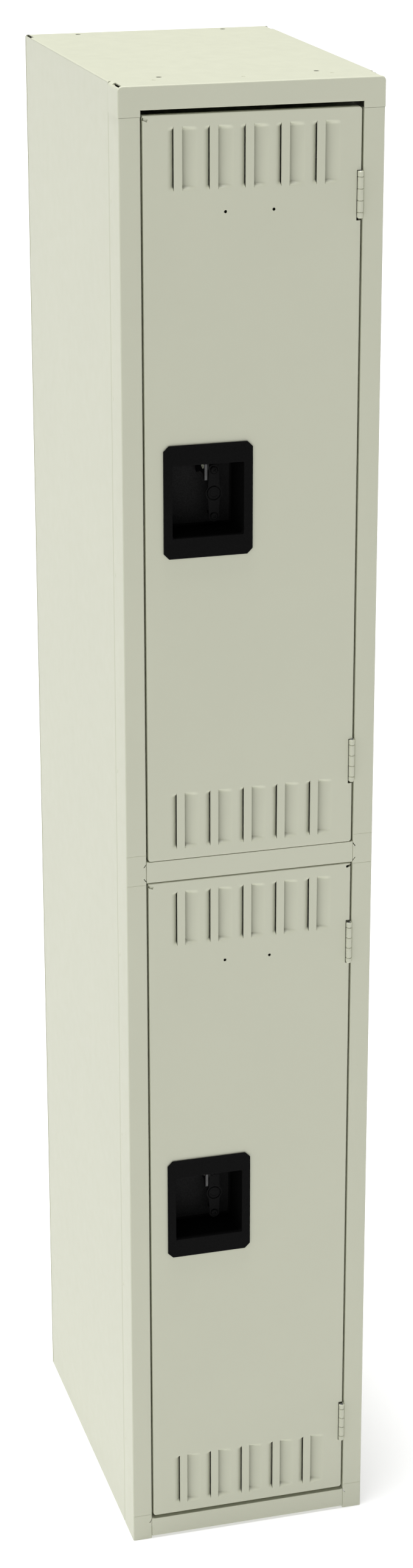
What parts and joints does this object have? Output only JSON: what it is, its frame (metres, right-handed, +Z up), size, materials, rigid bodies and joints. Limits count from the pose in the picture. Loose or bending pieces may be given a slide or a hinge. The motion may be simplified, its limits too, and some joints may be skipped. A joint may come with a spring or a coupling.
{
  "type": "school locker",
  "caption": "Tall steel school locker with stacked louvred doors that swing open, recessed handle cups with lift latches, and coat hooks inside.",
  "frame": {"origin": "on the floor at the centre of the bounding box, whose front is the hinge barrels", "axes": "+Z up; the doors face -Y; +X is the hinge side, on the right of a person facing the doors"},
  "size_m": [0.3048, 0.4617, 1.8288],
  "materials": {
    "putty_paint": "satin putty-grey baked enamel",
    "black_plastic": "fine-grained moulded black",
    "zinc_steel": "zinc-plated, slightly dull",
    "black_rubber": "matt",
    "white_nylon": "natural nylon"
  },
  "bodies": {
    "cabinet": {"frame_left_upright": "putty_paint", "frame_right_upright": "putty_paint", "frame_header": "putty_paint", "frame_mid_rail": "putty_paint", "frame_sill": "putty_paint", "left_side_panel": "putty_paint", "right_side_panel": "putty_paint", "back_panel": "putty_paint", "top_panel": "putty_paint", "bottom_panel": "putty_paint", "divider_shelf": "putty_paint", "upper_ceiling_hook": "zinc_steel", "upper_wall_hook_left": "zinc_steel", "upper_wall_hook_right": "zinc_steel", "upper_frame_hook_lower": "zinc_steel", "upper_frame_hook_upper": "zinc_steel", "upper_silencer_lower": "black_rubber", "upper_silencer_upper": "black_rubber", "upper_hinge_bottom_frame_leaf": "putty_paint", "upper_hinge_top_frame_leaf": "putty_paint", "upper_hinge_bottom_pin": "zinc_steel", "upper_hinge_top_pin": "zinc_steel", "lower_ceiling_hook": "zinc_steel", "lower_wall_hook_left": "zinc_steel", "lower_wall_hook_right": "zinc_steel", "lower_frame_hook_lower": "zinc_steel", "lower_frame_hook_upper": "zinc_steel", "lower_silencer_lower": "black_rubber", "lower_silencer_upper": "black_rubber", "lower_hinge_bottom_frame_leaf": "putty_paint", "lower_hinge_top_frame_leaf": "putty_paint", "lower_hinge_bottom_pin": "zinc_steel", "lower_hinge_top_pin": "zinc_steel"},
    "upper_door": {"upper_door_panel": "putty_paint", "upper_latch_channel": "putty_paint", "upper_latch_guide_lower": "white_nylon", "upper_latch_guide_upper": "white_nylon", "upper_handle_cup": "black_plastic", "upper_lock_hole_plug": "black_plastic", "upper_cup_screw_lower": "black_plastic", "upper_cup_screw_upper": "black_plastic", "upper_padlock_staple": "putty_paint", "upper_hinge_bottom_door_leaf": "putty_paint", "upper_hinge_top_door_leaf": "putty_paint"},
    "upper_latch": {"upper_lift_trigger": "zinc_steel", "upper_latch_bar": "zinc_steel"},
    "lower_door": {"lower_door_panel": "putty_paint", "lower_latch_channel": "putty_paint", "lower_latch_guide_lower": "white_nylon", "lower_latch_guide_upper": "white_nylon", "lower_handle_cup": "black_plastic", "lower_lock_hole_plug": "black_plastic", "lower_cup_screw_lower": "black_plastic", "lower_cup_screw_upper": "black_plastic", "lower_padlock_staple": "putty_paint", "lower_hinge_bottom_door_leaf": "putty_paint", "lower_hinge_top_door_leaf": "putty_paint"},
    "lower_latch": {"lower_lift_trigger": "zinc_steel", "lower_latch_bar": "zinc_steel"}
  },
  "joints": [
    {"name": "upper_door_hinge", "type": "hinge", "parent": "cabinet", "child": "upper_door", "pos_m": [0.1239, -0.2275, 1.36255], "axis": [0, 0, 1], "range_deg": [0, 170]},
    {"name": "upper_latch_lift", "type": "slide", "parent": "upper_door", "child": "upper_latch", "axis": [0, 0, 1], "range_m": [0, 0.0095]},
    {"name": "lower_door_hinge", "type": "hinge", "parent": "cabinet", "child": "lower_door", "pos_m": [0.1239, -0.2275, 0.46665], "axis": [0, 0, 1], "range_deg": [0, 170]},
    {"name": "lower_latch_lift", "type": "slide", "parent": "lower_door", "child": "lower_latch", "axis": [0, 0, 1], "range_m": [0, 0.0095]}
  ]
}
